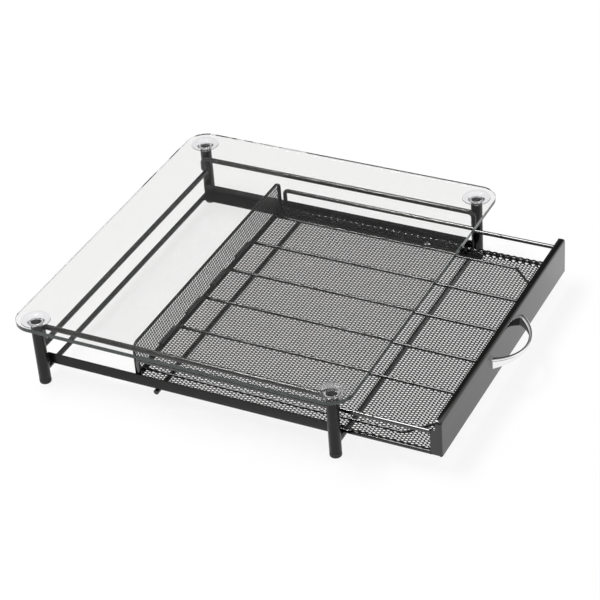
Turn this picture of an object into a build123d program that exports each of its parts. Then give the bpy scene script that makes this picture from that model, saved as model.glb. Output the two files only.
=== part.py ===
from build123d import *
from math import hypot
import os

# Capsule holder: a glass shelf on four posts, with a wire and mesh drawer that slides under it.
# Lengths in millimetres. X runs left to right, the drawer is pulled out along -Y, Z is up.
# The stand is laid out about the middle of its four posts, and everything is moved at the end
# so that the origin lies on the floor under the middle of the whole part.

# Glass shelf
glass_width = 356.0
glass_depth = 328.0
glass_thickness = 4.0
glass_corner_radius = 20.0
glass_edge_chamfer = 0.5

# Posts, set in from the edges of the glass, and their caps
post_inset_x = 17.5
post_inset_y = 19.0
post_diameter = 11.0
post_wall = 1.0
post_top_z = 60.7
cap_head_height = 5.0
cap_chamfer = 1.4
cap_plug_length = 8.0
plug_clearance = 0.1

# Suction cups between the posts and the glass
cup_diameter = 27.0
cup_rise = 6.0
cup_lip = 0.7
cup_neck_diameter = 11.6
cup_neck_height = 1.8
cup_hollow = 1.4
cup_hollow_diameter = 15.0

# Wires and bars of the stand
stand_wire = 5.0
side_wire_z = 54.0
side_wire_leg_end_z = 41.5
side_wire_bend = 5.0
rear_upper_wire_z = 36.4
cross_wire_from_rear = 111.0
cross_wire_overhang = 1.5
front_strip_height = 6.6
front_strip_thickness = 1.8

# Runners, angle section
runner_underside_z = 14.4
runner_height = 11.4
runner_ledge = 12.5
runner_sheet = 1.2
runner_bend = 1.6
runner_post_gap = 4.0

# How the drawer sits in the stand
drawer_lift = 0.3
side_clearance = 0.6
face_stand_off = 10.0
rear_clearance = 3.7
drawer_opening = 83.3

# Drawer wires
side_wire_drawer = 4.1
rail_height = 23.9
rail_bend = 4.0
rail_leg_gap_y = 6.0
floor_wire = 2.5
floor_wire_inset = 12.2
brace_run = 41.0
brace_bend = 6.0

# Divider wires
divider_count = 4
divider_pitch = 49.3
divider_wire = 3.0
divider_height = 8.6
divider_leg = 30.0
divider_bend = 4.0

# Drawer sheet parts
mesh_thickness = 1.0
mesh_edge_gap = 1.3
mesh_half_pitch_short = 8.5
mesh_half_pitch_long = 18.4
mesh_strand = 2.0
mesh_rim = 2.0
back_height = 35.6
back_sheet = 1.0
back_rim = 2.5
back_bottom_rim = 1.5
back_flange = 3.0
back_corner_radius = 8.0
back_mesh_lap = 1.2
panel_side_gap = 1.3
panel_height = 36.0
panel_sheet = 1.0
panel_corner_radius = 4.0
panel_top_return = 5.8
panel_side_return = 10.6
panel_return_bottom = 0.8
panel_return_drop = 9.9

# Handle and its screws
handle_width = 74.6
handle_foot = 5.8
handle_end = 1.5
handle_reach = 20.7
handle_bar = 3.0
handle_foot_height = 9.0
handle_bar_height = 3.2
handle_rise = 18.8
handle_chamfer = 0.6
screw_diameter = 3.0
screw_clearance = 0.2
screw_depth = 2.8
screw_head_diameter = 6.0
screw_head_height = 1.8

# Places worked out from the sizes above
post_x = glass_width / 2 - post_inset_x
post_y = glass_depth / 2 - post_inset_y
post_inner_x = post_x - post_diameter / 2
glass_underside_z = post_top_z + cup_rise
cross_wire_y = post_y - cross_wire_from_rear
runner_outer_x = post_inner_x - runner_post_gap
runner_inner_x = runner_outer_x - runner_sheet
ledge_top_z = runner_underside_z + runner_sheet

drawer_bottom_z = ledge_top_z + drawer_lift
face_y = -post_y - face_stand_off - drawer_opening
drawer_length = 2 * post_y + face_stand_off - rear_clearance
back_outer_y = face_y + drawer_length
back_inner_y = back_outer_y - back_sheet
mesh_panel_inner_y = back_inner_y - mesh_thickness
panel_inner_y = face_y + panel_sheet
side_wire_x = runner_inner_x - side_clearance - side_wire_drawer / 2
rail_inner_x = side_wire_x - side_wire_drawer / 2
panel_half_width = runner_inner_x - panel_side_gap
mesh_half_width = rail_inner_x - mesh_edge_gap
mesh_top_z = drawer_bottom_z + mesh_thickness
floor_wire_z = mesh_top_z + floor_wire / 2
rail_z = drawer_bottom_z + rail_height
low_wire_z = drawer_bottom_z + side_wire_drawer / 2
divider_z = drawer_bottom_z + divider_height
handle_z = drawer_bottom_z + handle_rise
handle_hole_x = handle_width / 2 - handle_foot / 2
whole_front_y = face_y - handle_reach
whole_back_y = glass_depth / 2
to_origin = Pos(0, -(whole_front_y + whole_back_y) / 2, 0)


def save(name, shape):
    """Writes one piece, moved to the part's own origin."""
    export_step(to_origin * shape, f"parts/{name}.step")


def cylinder_along_z(x, y, low, high, diameter):
    return Pos(x, y, low) * extrude(Circle(diameter / 2), amount=high - low)


def straight_wire(start, end, diameter):
    line = Line(start, end)
    return sweep(Plane(line @ 0, z_dir=line % 0) * Circle(diameter / 2), path=line)


def bent_wire(points, bend, diameter):
    """A wire along straight runs, with one bend radius measured at its centre line."""
    path = FilletPolyline(*points, radius=bend)
    return sweep(Plane(path @ 0, z_dir=path % 0) * Circle(diameter / 2), path=path)


def cope(piece, y):
    """Cuts the ends of a cross piece to the round of the two posts that stand at y."""
    for x in (-post_x, post_x):
        piece = piece - cylinder_along_z(x, y, 0, post_top_z, post_diameter)
    return piece


def post(x, y):
    tube = cylinder_along_z(x, y, cap_head_height, post_top_z, post_diameter)
    return tube - cylinder_along_z(x, y, 0, post_top_z + 1, post_diameter - 2 * post_wall)


def foot_cap(x, y):
    """A push-in cap: its head is flush with the tube and its plug goes up inside."""
    head = cylinder_along_z(x, y, 0, cap_head_height, post_diameter)
    head = chamfer(head.edges().sort_by(Axis.Z)[0], cap_chamfer)
    plug_diameter = post_diameter - 2 * post_wall - 2 * plug_clearance
    return head + cylinder_along_z(x, y, cap_head_height, cap_head_height + cap_plug_length, plug_diameter)


def suction_cup(x, y):
    """A soft dished cup, pressed flat under the glass, with a neck and a plug into the post."""
    neck_r = cup_neck_diameter / 2
    plug_r = post_diameter / 2 - post_wall - plug_clearance
    neck_top = post_top_z + cup_neck_height
    rim_r = cup_diameter / 2
    hollow_r = cup_hollow_diameter / 2
    outline = Polyline(
        (0, post_top_z - cap_plug_length),
        (plug_r, post_top_z - cap_plug_length),
        (plug_r, post_top_z),
        (neck_r, post_top_z),
        (neck_r, neck_top),
        (rim_r, glass_underside_z - cup_lip),
        (rim_r, glass_underside_z),
        (hollow_r, glass_underside_z),
        (0, glass_underside_z - cup_hollow),
        close=True,
    )
    return Pos(x, y, 0) * revolve(make_face(Plane.XZ * outline), Axis.Z)


def glass_shelf():
    sheet = extrude(RectangleRounded(glass_width, glass_depth, glass_corner_radius), glass_thickness)
    rims = sheet.faces().sort_by(Axis.Z)[0].edges() + sheet.faces().sort_by(Axis.Z)[-1].edges()
    return Pos(0, 0, glass_underside_z) * chamfer(rims, glass_edge_chamfer)


def runner(side):
    """An angle section with its ledge turned inward and a tab at each end that meets a post."""
    web_x = runner_outer_x
    ledge_x = runner_outer_x - runner_ledge
    top_z = runner_underside_z + runner_height
    section = Polyline(
        (web_x, runner_underside_z),
        (web_x, top_z),
        (runner_inner_x, top_z),
        (runner_inner_x, ledge_top_z),
        (ledge_x, ledge_top_z),
        (ledge_x, runner_underside_z),
        close=True,
    )
    angle = extrude(make_face(Plane.XZ * section), amount=post_y, both=True)
    heel = angle.edges().filter_by(Axis.Y).sort_by(lambda e: e.center().X - e.center().Z)[-1]
    angle = fillet(heel, runner_bend)
    for y in (-post_y, post_y):
        tab = Box(post_x - runner_inner_x, runner_sheet, runner_height, align=(Align.MIN, Align.CENTER, Align.MIN))
        inward = -runner_sheet / 2 if y > 0 else runner_sheet / 2
        angle = angle + Pos(runner_inner_x, y + inward, runner_underside_z) * tab
        angle = angle - cylinder_along_z(post_x, y, 0, post_top_z, post_diameter)
    return angle if side > 0 else mirror(angle, about=Plane.YZ)


def cross_wire(y, z):
    return cope(straight_wire((-post_x, y, z), (post_x, y, z), stand_wire), y)


def middle_cross_wire():
    reach = runner_outer_x + cross_wire_overhang
    z = runner_underside_z - stand_wire / 2
    return straight_wire((-reach, cross_wire_y, z), (reach, cross_wire_y, z), stand_wire)


def front_cross_strip():
    strip = Box(2 * post_x, front_strip_thickness, front_strip_height, align=(Align.CENTER, Align.CENTER, Align.MAX))
    return cope(Pos(0, -post_y, runner_underside_z) * strip, -post_y)


def stand_side_wire(side):
    """A wire along the inner side of two posts, with both ends turned down against them."""
    x = side * (post_inner_x - stand_wire / 2)
    points = [
        (x, -post_y, side_wire_leg_end_z),
        (x, -post_y, side_wire_z),
        (x, post_y, side_wire_z),
        (x, post_y, side_wire_leg_end_z),
    ]
    return bent_wire(points, side_wire_bend, stand_wire)


def expanded_mesh(width, length, half_pitch_x, half_pitch_y, open_sides):
    """Expanded metal lying on Z = 0, as one sheet with staggered diamond holes.

    The sides along Y are either cut through the diamonds or closed by a plain strip.
    """
    steps_x = 2 * round(width / (2 * half_pitch_x))
    steps_y = 2 * round(length / (2 * half_pitch_y))
    step_x = width / steps_x
    step_y = length / steps_y
    shrink = 1 - mesh_strand * hypot(step_x, step_y) / (2 * step_x * step_y)
    hole_x = step_x * shrink
    hole_y = step_y * shrink

    holes = []
    for i in range(steps_x + 1):
        for j in range(steps_y + 1):
            if (i + j) % 2:
                continue
            x = i * step_x - width / 2
            y = j * step_y - length / 2
            at_side = i in (0, steps_x)
            at_end = j in (0, steps_y)
            if at_side and (at_end or open_sides):
                continue
            if at_side:
                inward = 1 if i == 0 else -1
                base = x + inward * mesh_rim
                half = hole_y * (1 - mesh_rim / hole_x)
                corners = [(base, y - half), (x + inward * hole_x, y), (base, y + half)]
            elif at_end:
                inward = 1 if j == 0 else -1
                base = y + inward * mesh_rim
                half = hole_x * (1 - mesh_rim / hole_y)
                corners = [(x - half, base), (x, y + inward * hole_y), (x + half, base)]
            else:
                corners = [(x - hole_x, y), (x, y - hole_y), (x + hole_x, y), (x, y + hole_y)]
            holes.append(Wire.make_polygon(corners, close=True))

    right = [(width / 2, -length / 2)]
    if open_sides:
        for j in range(2, steps_y, 2):
            y = j * step_y - length / 2
            right += [(width / 2, y - hole_y), (width / 2 - hole_x, y), (width / 2, y + hole_y)]
    right.append((width / 2, length / 2))
    left = [(-x, y) for x, y in reversed(right)]
    outline = Wire.make_polygon(right + left, close=True)
    return extrude(Face(outline, holes), amount=mesh_thickness)


def floor_mesh():
    length = back_inner_y - panel_inner_y
    sheet = expanded_mesh(2 * mesh_half_width, length, mesh_half_pitch_short, mesh_half_pitch_long, True)
    return Pos(0, (back_inner_y + panel_inner_y) / 2, drawer_bottom_z) * sheet


def back_mesh():
    """The upright net, clamped against the inner side of the back frame's rim."""
    inset = back_rim - back_mesh_lap
    low = mesh_top_z
    high = drawer_bottom_z + back_height - inset
    width = 2 * (rail_inner_x - inset)
    sheet = expanded_mesh(width, high - low, mesh_half_pitch_short, mesh_half_pitch_long, False)
    top_corners = sheet.edges().filter_by(Axis.Z).group_by(Axis.Y)[-1]
    sheet = fillet(top_corners, back_corner_radius - inset)
    return Pos(0, back_inner_y, (low + high) / 2) * Rot(X=90) * sheet


def rounded_top(half_width, height, radius):
    """An upright outline on the XZ plane, from Z = 0, with its two top corners rounded."""
    sketch = Pos(0, height / 2) * Rectangle(2 * half_width, height)
    return Plane.XZ * fillet(sketch.vertices().group_by(Axis.Y)[-1], radius)


def back_frame():
    """A sheet frame round the back net, with its edge flanged forward."""
    shell = extrude(rounded_top(rail_inner_x, back_height, back_corner_radius), amount=back_flange)
    hollow = rounded_top(rail_inner_x - back_sheet, back_height - back_sheet, back_corner_radius - back_sheet)
    shell = shell - Pos(0, -back_sheet, 0) * extrude(hollow, amount=back_flange)
    window = rounded_top(
        rail_inner_x - back_rim, back_height - back_rim - back_bottom_rim, back_corner_radius - back_rim
    )
    shell = shell - Pos(0, 0, back_bottom_rim) * extrude(window, amount=back_sheet)
    return Pos(0, back_outer_y, drawer_bottom_z) * shell


def rear_floor_wire():
    y = back_outer_y + floor_wire / 2
    z = drawer_bottom_z + floor_wire / 2
    reach = rail_inner_x - back_rim
    return straight_wire((-reach, y, z), (reach, y, z), floor_wire)


def drawer_rail(side):
    """The upper side wire, from the panel's flange to the back, where it turns down."""
    x = side * side_wire_x
    leg_y = back_outer_y - rail_leg_gap_y
    points = [
        (x, face_y + panel_side_return, rail_z),
        (x, leg_y, rail_z),
        (x, leg_y, low_wire_z + side_wire_drawer / 2),
    ]
    return bent_wire(points, rail_bend, side_wire_drawer)


def lower_side_wire(side):
    """The wire that runs on the runner's ledge."""
    x = side * side_wire_x
    return straight_wire((x, face_y + panel_side_return, low_wire_z), (x, back_outer_y, low_wire_z), side_wire_drawer)


def floor_support_wire(side):
    """A wire on the floor net, braced across the front corner to the panel."""
    x = side * (mesh_half_width - floor_wire_inset)
    points = [
        (x, mesh_panel_inner_y, floor_wire_z),
        (x, panel_inner_y + brace_run, floor_wire_z),
        (x - side * brace_run, panel_inner_y, floor_wire_z),
    ]
    wire = bent_wire(points, brace_bend, floor_wire)
    beyond_panel = Pos(0, panel_inner_y - brace_run / 2, floor_wire_z) * Box(4 * x * side, brace_run, brace_run)
    return wire - beyond_panel


def divider(number):
    """A lane wire with both ends turned sideways against the back net and the panel."""
    x = (number - (divider_count - 1) / 2) * divider_pitch
    rear_y = mesh_panel_inner_y - divider_wire / 2
    front_y = panel_inner_y + divider_wire / 2
    points = [
        (x - divider_leg, rear_y, divider_z),
        (x, rear_y, divider_z),
        (x, front_y, divider_z),
        (x - divider_leg, front_y, divider_z),
    ]
    return bent_wire(points, divider_bend, divider_wire)


def front_panel():
    """A pressed sheet front: top lip, deeper side flanges and two holes for the handle."""
    deep = -panel_side_return
    outer = rounded_top(panel_half_width, panel_height, panel_corner_radius)
    inner = rounded_top(panel_half_width - panel_sheet, panel_height - panel_sheet, panel_corner_radius - panel_sheet)
    shell = extrude(outer, amount=deep) - Pos(0, panel_sheet, 0) * extrude(inner, amount=deep)
    cut_length = 3 * panel_half_width
    from_front = (Align.CENTER, Align.MIN, Align.CENTER)
    top_cut = Box(cut_length, panel_side_return, 2 * panel_return_drop, align=from_front)
    foot_cut = Box(cut_length, panel_side_return, 2 * panel_return_bottom, align=from_front)
    shell = shell - Pos(0, panel_top_return, panel_height) * top_cut
    shell = shell - Pos(0, panel_sheet, 0) * foot_cut
    for x in (-handle_hole_x, handle_hole_x):
        hole = Rot(X=90) * Cylinder(screw_diameter / 2 + screw_clearance, 4 * panel_sheet)
        shell = shell - Pos(x, 0, handle_rise) * hole
    return Pos(0, face_y, drawer_bottom_z) * shell


def handle():
    """A bow pull: tall at its two feet and tapered forward to a slim bar in the middle."""
    end_x = handle_width / 2
    foot_x = end_x - handle_foot
    outline = [
        Line((-end_x, 0), (-end_x, -handle_end)),
        ThreePointArc((-end_x, -handle_end), (0, -handle_reach), (end_x, -handle_end)),
        Line((end_x, -handle_end), (end_x, 0)),
        Line((end_x, 0), (foot_x, 0)),
        ThreePointArc((foot_x, 0), (0, -handle_reach + handle_bar), (-foot_x, 0)),
        Line((-foot_x, 0), (-end_x, 0)),
    ]
    bow = extrude(make_face(outline), amount=handle_foot_height / 2, both=True)
    side_view = Polyline(
        (0, -handle_foot_height / 2),
        (-handle_reach, -handle_bar_height / 2),
        (-handle_reach, handle_bar_height / 2),
        (0, handle_foot_height / 2),
        close=True,
    )
    bow = bow & extrude(make_face(Plane.YZ * side_view), amount=end_x, both=True)
    front = bow.faces().filter_by(GeomType.CYLINDER).sort_by(Axis.Y)[0]
    bow = chamfer(front.edges().filter_by(lambda edge: edge.length > end_x), handle_chamfer)
    for x in (-handle_hole_x, handle_hole_x):
        hole = Rot(X=90) * Cylinder(screw_diameter / 2 + plug_clearance / 2, 2 * screw_depth)
        bow = bow - Pos(x, 0, 0) * hole
    return Pos(0, face_y, handle_z) * bow


def handle_screw(x):
    """A pan-head screw through the panel into one foot of the handle."""
    length = panel_sheet + screw_depth - screw_clearance
    shank = Cylinder(screw_diameter / 2, length, align=(Align.CENTER, Align.CENTER, Align.MIN))
    head = Cylinder(screw_head_diameter / 2, screw_head_height, align=(Align.CENTER, Align.CENTER, Align.MIN))
    screw = shank + Pos(0, 0, length) * head
    return Pos(x, face_y - screw_depth + screw_clearance, handle_z) * Rot(X=-90) * screw


os.makedirs("parts", exist_ok=True)

corners = {
    "front_left": (-post_x, -post_y),
    "front_right": (post_x, -post_y),
    "rear_left": (-post_x, post_y),
    "rear_right": (post_x, post_y),
}
sides = {"left": -1, "right": 1}

# The stand
for corner, (x, y) in corners.items():
    save(f"post_{corner}", post(x, y))
    save(f"foot_cap_{corner}", foot_cap(x, y))
    save(f"suction_cup_{corner}", suction_cup(x, y))
save("glass_shelf", glass_shelf())
save("rear_upper_wire", cross_wire(post_y, rear_upper_wire_z))
save("rear_lower_wire", cross_wire(post_y, runner_underside_z - stand_wire / 2))
save("middle_cross_wire", middle_cross_wire())
save("front_cross_strip", front_cross_strip())
for name, side in sides.items():
    save(f"runner_{name}", runner(side))
    save(f"stand_side_wire_{name}", stand_side_wire(side))

# The drawer
save("floor_mesh", floor_mesh())
save("back_mesh", back_mesh())
save("back_frame", back_frame())
save("rear_floor_wire", rear_floor_wire())
save("front_panel", front_panel())
save("handle", handle())
save("handle_screws", Compound([handle_screw(-handle_hole_x), handle_screw(handle_hole_x)]))
for name, side in sides.items():
    save(f"drawer_rail_{name}", drawer_rail(side))
    save(f"lower_side_wire_{name}", lower_side_wire(side))
    save(f"floor_support_wire_{name}", floor_support_wire(side))
for number in range(divider_count):
    save(f"divider_{number + 1}", divider(number))
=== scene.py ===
import math

import bmesh
import bpy
from mathutils import Matrix, Vector


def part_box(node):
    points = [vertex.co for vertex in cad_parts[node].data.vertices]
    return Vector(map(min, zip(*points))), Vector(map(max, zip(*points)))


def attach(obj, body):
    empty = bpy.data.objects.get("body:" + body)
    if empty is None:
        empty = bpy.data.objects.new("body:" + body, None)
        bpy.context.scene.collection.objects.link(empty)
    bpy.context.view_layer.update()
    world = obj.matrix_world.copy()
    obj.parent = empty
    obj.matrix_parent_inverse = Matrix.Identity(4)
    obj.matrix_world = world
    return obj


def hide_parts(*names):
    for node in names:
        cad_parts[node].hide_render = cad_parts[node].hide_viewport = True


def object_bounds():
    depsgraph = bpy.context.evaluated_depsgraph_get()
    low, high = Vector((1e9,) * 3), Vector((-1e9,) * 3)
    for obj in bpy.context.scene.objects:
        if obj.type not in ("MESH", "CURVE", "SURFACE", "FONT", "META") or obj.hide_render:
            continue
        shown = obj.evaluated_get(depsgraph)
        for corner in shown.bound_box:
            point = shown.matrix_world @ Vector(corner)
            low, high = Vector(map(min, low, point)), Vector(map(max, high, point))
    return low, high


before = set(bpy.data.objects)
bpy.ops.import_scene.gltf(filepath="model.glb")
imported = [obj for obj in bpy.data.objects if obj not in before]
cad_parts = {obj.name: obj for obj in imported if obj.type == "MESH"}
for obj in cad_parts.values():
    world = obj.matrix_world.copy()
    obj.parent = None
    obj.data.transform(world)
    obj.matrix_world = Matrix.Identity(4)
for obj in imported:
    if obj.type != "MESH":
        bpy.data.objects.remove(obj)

cadLow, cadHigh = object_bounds()
mm = 0.001
hairline = 0.02 * mm     # keeps faces apart that would lie in one plane
sliver = 0.01 * mm       # a step that reads as a sharp corner
corners = ["front_left", "front_right", "rear_left", "rear_right"]
sides = ["left", "right"]


def nodeBox(name):
    low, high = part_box(name)
    return Vector(low), Vector(high)


def middleOf(name):
    low, high = nodeBox(name)
    return (low + high) / 2


def halfWidth(name):
    low, high = nodeBox(name)
    return (high.x - low.x) / 2


def halfHeight(name):
    low, high = nodeBox(name)
    return (high.z - low.z) / 2


def wireRadius(name):
    low, high = nodeBox(name)
    return min(high - low) / 2


def placeObject(name, data):
    item = bpy.data.objects.new(name, data)
    bpy.context.scene.collection.objects.link(item)
    return item


def meshObject(name, verts, faces):
    mesh = bpy.data.meshes.new(name)
    mesh.from_pydata([tuple(v) for v in verts], [], faces)
    return placeObject(name, mesh)


# Camera, placed from the photograph's own perspective

photoCamera = {
    "azimuth": -61.55,       # degrees, 0 looks along +Y
    "elevation": 34.75,
    "roll": -4.48,
    "distance": 1.9564,      # metres, like the target
    "target": (-0.0002, 0.0123, 0.029),
    "lens": 127.92,          # mm, like the sensor
    "sensor": 36.0,
    "clipStart": 0.01,
}


def placeCamera(spec):
    azimuth, elevation, roll = (math.radians(spec[key]) for key in ("azimuth", "elevation", "roll"))
    outward = Vector((
        math.sin(azimuth) * math.cos(elevation),
        -math.cos(azimuth) * math.cos(elevation),
        math.sin(elevation),
    ))
    right = (-outward).cross(Vector((0, 0, 1))).normalized()
    up = right.cross(-outward)
    rolledRight = right * math.cos(roll) + up * math.sin(roll)
    rolledUp = up * math.cos(roll) - right * math.sin(roll)
    turn = Matrix((rolledRight, rolledUp, outward)).transposed().to_4x4()
    data = bpy.data.cameras.new("photoCamera")
    data.lens = spec["lens"]
    data.sensor_width = spec["sensor"]
    data.clip_start = spec["clipStart"]
    camera = placeObject("photoCamera", data)
    place = Vector(spec["target"]) + outward * spec["distance"]
    camera.matrix_world = Matrix.Translation(place) @ turn
    bpy.context.scene.camera = camera


placeCamera(photoCamera)
print("camera placed")


# Shader helpers, and the effects that several finishes share

colourA, colourB, mixed = 6, 7, 2        # sockets of a Mix node for colours
dustColour = (0.35, 0.33, 0.3, 1)


def setInputs(node, **values):
    for key, value in values.items():
        node.inputs[key.replace("_", " ")].default_value = value


def addNode(tree, kind, settings=None, **inputs):
    node = tree.nodes.new("ShaderNode" + kind)
    for key, value in (settings or {}).items():
        setattr(node, key, value)
    setInputs(node, **inputs)
    return node


def addNoise(tree, **inputs):
    noise = addNode(tree, "TexNoise", **inputs)
    connect(tree, (addNode(tree, "TexCoord"), "Object", noise, "Vector"))
    return noise


def addMix(tree):
    return addNode(tree, "Mix", {"data_type": "RGBA"})


def addMath(tree, operation, second=None):
    node = addNode(tree, "Math", {"operation": operation})
    if second is not None:
        node.inputs[1].default_value = second
    return node


def connect(tree, *links):
    for source, output, target, socket in links:
        tree.links.new(source.outputs[output], target.inputs[socket])


def emptyTree(owner):
    owner.use_nodes = True
    owner.node_tree.nodes.clear()
    return owner.node_tree


def newGroup(name, inputs, outputs):
    tree = bpy.data.node_groups.new(name, "ShaderNodeTree")
    for way, sockets in (("INPUT", inputs), ("OUTPUT", outputs)):
        for label, kind in sockets.items():
            tree.interface.new_socket(name=label, in_out=way, socket_type="NodeSocket" + kind)
    return tree, tree.nodes.new("NodeGroupInput"), tree.nodes.new("NodeGroupOutput")


def buildCoatGrain():
    tree, given, out = newGroup(
        "coatGrain",
        {"Dark Colour": "Color", "Light Colour": "Color", "Grain Scale": "Float",
         "Grain Height": "Float", "Roughness Low": "Float", "Roughness High": "Float"},
        {"Colour": "Color", "Roughness": "Float", "Normal": "Vector"},
    )
    fine = addNoise(tree, Detail=3.0, Roughness=0.6)                    # orange peel
    broad = addNoise(tree, Scale=38.0, Detail=4.0, Roughness=0.55)      # slow drift of tone
    bump = addNode(tree, "Bump", Distance=0.12 * mm)
    tone = addMix(tree)
    rough = addNode(tree, "MapRange", From_Min=0.3, From_Max=0.7)
    connect(
        tree,
        (given, "Grain Scale", fine, "Scale"),
        (given, "Grain Height", bump, "Strength"),
        (fine, "Fac", bump, "Height"),
        (broad, "Fac", tone, "Factor"),
        (given, "Dark Colour", tone, colourA),
        (given, "Light Colour", tone, colourB),
        (broad, "Fac", rough, "Value"),
        (given, "Roughness Low", rough, "To Min"),
        (given, "Roughness High", rough, "To Max"),
        (tone, mixed, out, "Colour"),
        (rough, "Result", out, "Roughness"),
        (bump, "Normal", out, "Normal"),
    )
    return tree


def buildDustVeil():
    tree, given, out = newGroup(
        "dustVeil",
        {"Colour": "Color", "Dust Colour": "Color", "Amount": "Float"},
        {"Colour": "Color"},
    )
    shape = addNode(tree, "NewGeometry")
    split = addNode(tree, "SeparateXYZ")
    specks = addNoise(tree, Scale=260.0, Detail=6.0, Roughness=0.7)
    lift = addNode(tree, "MapRange", From_Min=0.35, From_Max=1.0)
    spread = addNode(tree, "MapRange", From_Min=0.42, From_Max=0.72)
    both = addMath(tree, "MULTIPLY")
    scaled = addMath(tree, "MULTIPLY")
    blendIn = addMix(tree)
    connect(
        tree,
        (shape, "Normal", split, "Vector"),
        (split, "Z", lift, "Value"),             # dust lies on what faces up
        (specks, "Fac", spread, "Value"),
        (lift, "Result", both, 0),
        (spread, "Result", both, 1),
        (both, "Value", scaled, 0),
        (given, "Amount", scaled, 1),
        (scaled, "Value", blendIn, "Factor"),
        (given, "Colour", blendIn, colourA),
        (given, "Dust Colour", blendIn, colourB),
        (blendIn, mixed, out, "Colour"),
    )
    return tree


def buildHandlingMarks():
    tree, given, out = newGroup(
        "handlingMarks",
        {"Mark Scale": "Float", "Roughness Clean": "Float", "Roughness Marked": "Float",
         "Ripple Scale": "Float", "Ripple Height": "Float"},
        {"Roughness": "Float", "Normal": "Vector"},
    )
    marks = addNoise(tree, Detail=5.0, Roughness=0.65, Distortion=0.6)
    rough = addNode(tree, "MapRange", From_Min=0.5, From_Max=0.75)
    ripple = addNoise(tree, Detail=1.0)
    bump = addNode(tree, "Bump", Distance=1.0 * mm)
    connect(
        tree,
        (given, "Mark Scale", marks, "Scale"),
        (marks, "Fac", rough, "Value"),
        (given, "Roughness Clean", rough, "To Min"),
        (given, "Roughness Marked", rough, "To Max"),
        (given, "Ripple Scale", ripple, "Scale"),
        (ripple, "Fac", bump, "Height"),
        (given, "Ripple Height", bump, "Strength"),
        (rough, "Result", out, "Roughness"),
        (bump, "Normal", out, "Normal"),
    )
    return tree


coatGrain = buildCoatGrain()
dustVeil = buildDustVeil()
handlingMarks = buildHandlingMarks()
print("shared shader groups built")


# Finishes

blackPaint = {
    "dark": (0.004, 0.0037, 0.0034, 1), "light": (0.009, 0.0086, 0.0082, 1),
    "grainScale": 1500.0, "dust": 0.008,
}
coats = {
    "blackCoat": {**blackPaint, "grainHeight": 0.1, "roughness": (0.16, 0.27), "ior": 1.39},
    "wireCoat": {**blackPaint, "grainHeight": 0.06, "roughness": (0.1, 0.18), "ior": 1.6},
    "railCoat": {**blackPaint, "grainHeight": 0.04, "roughness": (0.08, 0.14), "ior": 1.85},
    "meshCoat": {
        "dark": (0.006, 0.0057, 0.0054, 1), "light": (0.012, 0.0115, 0.011, 1), "dust": 0.006,
        "grainScale": 2200.0, "grainHeight": 0.1, "roughness": (0.26, 0.38), "ior": 1.4,
    },
    "panelCoat": {
        "dark": (0.003, 0.0028, 0.0026, 1), "light": (0.005, 0.0047, 0.0044, 1), "dust": 0.004,
        "grainScale": 700.0, "grainHeight": 0.02, "roughness": (0.07, 0.11), "ior": 1.66,
    },
    "footPlastic": {
        "dark": (0.014, 0.014, 0.014, 1), "light": (0.026, 0.026, 0.026, 1), "dust": 0.05,
        "grainScale": 900.0, "grainHeight": 0.4, "roughness": (0.5, 0.68), "ior": 1.46,
    },
}
clears = {
    "shelfGlass": {
        "colour": (0.985, 0.987, 0.979, 1), "transmission": 1.0, "ior": 1.5,
        "roughness": (0.0, 0.015), "markScale": 14.0, "rippleScale": 5.0, "rippleHeight": 0.01,
    },
    "glassEdge": {
        # the inside colour is painted light: a paler colour for an edge seen from within the glass
        "colour": (0.36, 0.45, 0.42, 1), "inside": (0.95, 0.96, 0.955, 1), "transmission": 0.88,
        "ior": 1.5, "roughness": (0.06, 0.16), "markScale": 60.0, "rippleScale": 160.0,
        "rippleHeight": 0.08,
    },
    "clearVinyl": {
        "colour": (0.965, 0.96, 0.985, 1), "transmission": 1.0, "ior": 1.42,
        "roughness": (0.015, 0.05), "markScale": 90.0, "rippleScale": 120.0, "rippleHeight": 0.06,
    },
}
metals = {
    "handleChrome": {
        "colour": (0.86, 0.86, 0.87, 1), "roughness": (0.03, 0.1),
        "markScale": 120.0, "rippleScale": 60.0, "rippleHeight": 0.02,
    },
    "screwSteel": {
        "colour": (0.62, 0.61, 0.58, 1), "roughness": (0.22, 0.4),
        "markScale": 300.0, "rippleScale": 500.0, "rippleHeight": 0.1,
    },
}


def newMaterial(name):
    material = bpy.data.materials.new(name)
    tree = emptyTree(material)
    shader = addNode(tree, "BsdfPrincipled")
    connect(tree, (shader, "BSDF", addNode(tree, "OutputMaterial"), "Surface"))
    return material, tree, shader


def useGroup(tree, group, **values):
    return addNode(tree, "Group", {"node_tree": group}, **values)


def makeCoat(name, spec):
    material, tree, shader = newMaterial(name)
    smoothest, roughest = spec["roughness"]
    grain = useGroup(
        tree, coatGrain, Dark_Colour=spec["dark"], Light_Colour=spec["light"],
        Grain_Scale=spec["grainScale"], Grain_Height=spec["grainHeight"],
        Roughness_Low=smoothest, Roughness_High=roughest,
    )
    dust = useGroup(tree, dustVeil, Dust_Colour=dustColour, Amount=spec["dust"])
    connect(
        tree,
        (grain, "Colour", dust, "Colour"),
        (dust, "Colour", shader, "Base Color"),
        (grain, "Roughness", shader, "Roughness"),
        (grain, "Normal", shader, "Normal"),
    )
    setInputs(shader, IOR=spec["ior"], Metallic=0.0)
    return material


def addMarks(tree, shader, spec):
    clean, marked = spec["roughness"]
    marks = useGroup(
        tree, handlingMarks, Roughness_Clean=clean, Roughness_Marked=marked,
        Mark_Scale=spec["markScale"], Ripple_Scale=spec["rippleScale"],
        Ripple_Height=spec["rippleHeight"],
    )
    connect(tree, (marks, "Roughness", shader, "Roughness"), (marks, "Normal", shader, "Normal"))


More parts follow.
